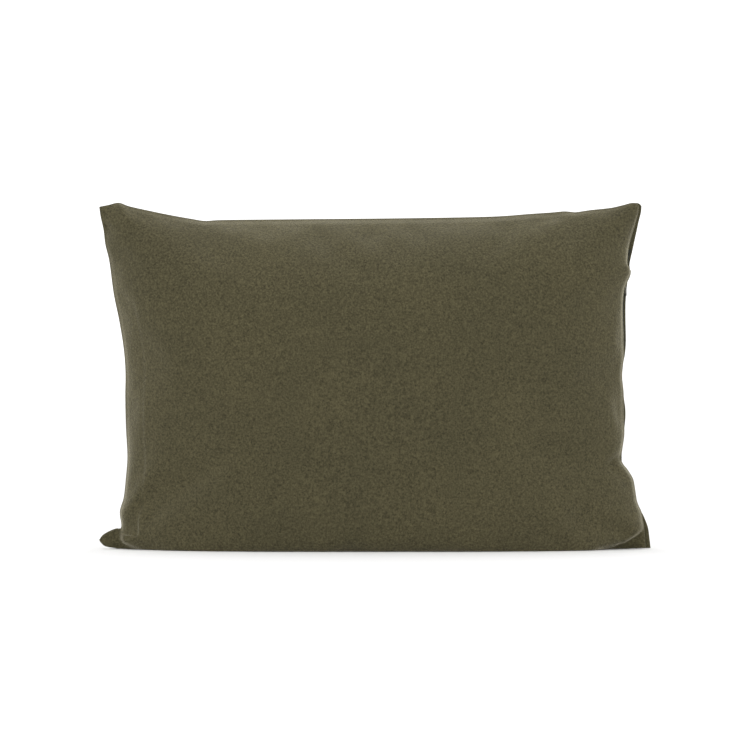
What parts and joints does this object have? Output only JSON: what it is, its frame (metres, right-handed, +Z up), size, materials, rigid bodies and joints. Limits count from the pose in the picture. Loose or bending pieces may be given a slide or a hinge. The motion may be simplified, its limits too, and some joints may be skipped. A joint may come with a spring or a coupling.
{
  "type": "camp pillow",
  "caption": "Camp pillow: removable fleece cover with a zip along one end, over a foam core in a thin sewn casing.",
  "frame": {"origin": "middle of the base, on the surface the pillow stands on", "axes": "+X along the pillow towards the zip end, -Y out of the front face, +Z up, with the pillow standing on its long bottom edge"},
  "size_m": [0.448, 0.1084, 0.287],
  "materials": {
    "fleece_front": "brushed olive fleece, matt with a soft nap",
    "fleece_back": "brushed olive fleece, matt with a soft nap",
    "olive_thread": "twisted polyester thread",
    "zip_tape": "close woven tape",
    "zip_coil": "satin nylon",
    "zip_metal": "satin enamel over zinc alloy",
    "label_cloth": "blank woven satin",
    "casing_cloth": "thin plain weave",
    "casing_thread": "twisted polyester thread",
    "foam": "open-cell foam"
  },
  "bodies": {
    "pillow": {"cover_front_panel": "fleece_front", "cover_back_panel": "fleece_back", "cover_seam_thread": "olive_thread", "zipper_tape_front": "zip_tape", "zipper_tape_back": "zip_tape", "zipper_coil_front": "zip_coil", "zipper_coil_back": "zip_coil", "zipper_stitch_front": "olive_thread", "zipper_stitch_back": "olive_thread", "zipper_top_stop_front": "zip_metal", "zipper_top_stop_back": "zip_metal", "zipper_bottom_stop": "zip_metal", "care_label": "label_cloth", "casing_front_panel": "casing_cloth", "casing_back_panel": "casing_cloth", "casing_seam_thread": "casing_thread", "foam_core": "foam"},
    "slider": {"zipper_slider": "zip_metal"},
    "pull_tab": {"zipper_pull_tab": "zip_metal"}
  },
  "joints": [
    {"name": "zipper_slide", "type": "slide", "parent": "pillow", "child": "slider", "axis": [0, 0, -1], "range_m": [0, 0.164]},
    {"name": "pull_tab_hinge", "type": "hinge", "parent": "slider", "child": "pull_tab", "pos_m": [0.2061, 0, 0.224], "axis": [0, -1, 0], "range_deg": [0, 150]}
  ]
}
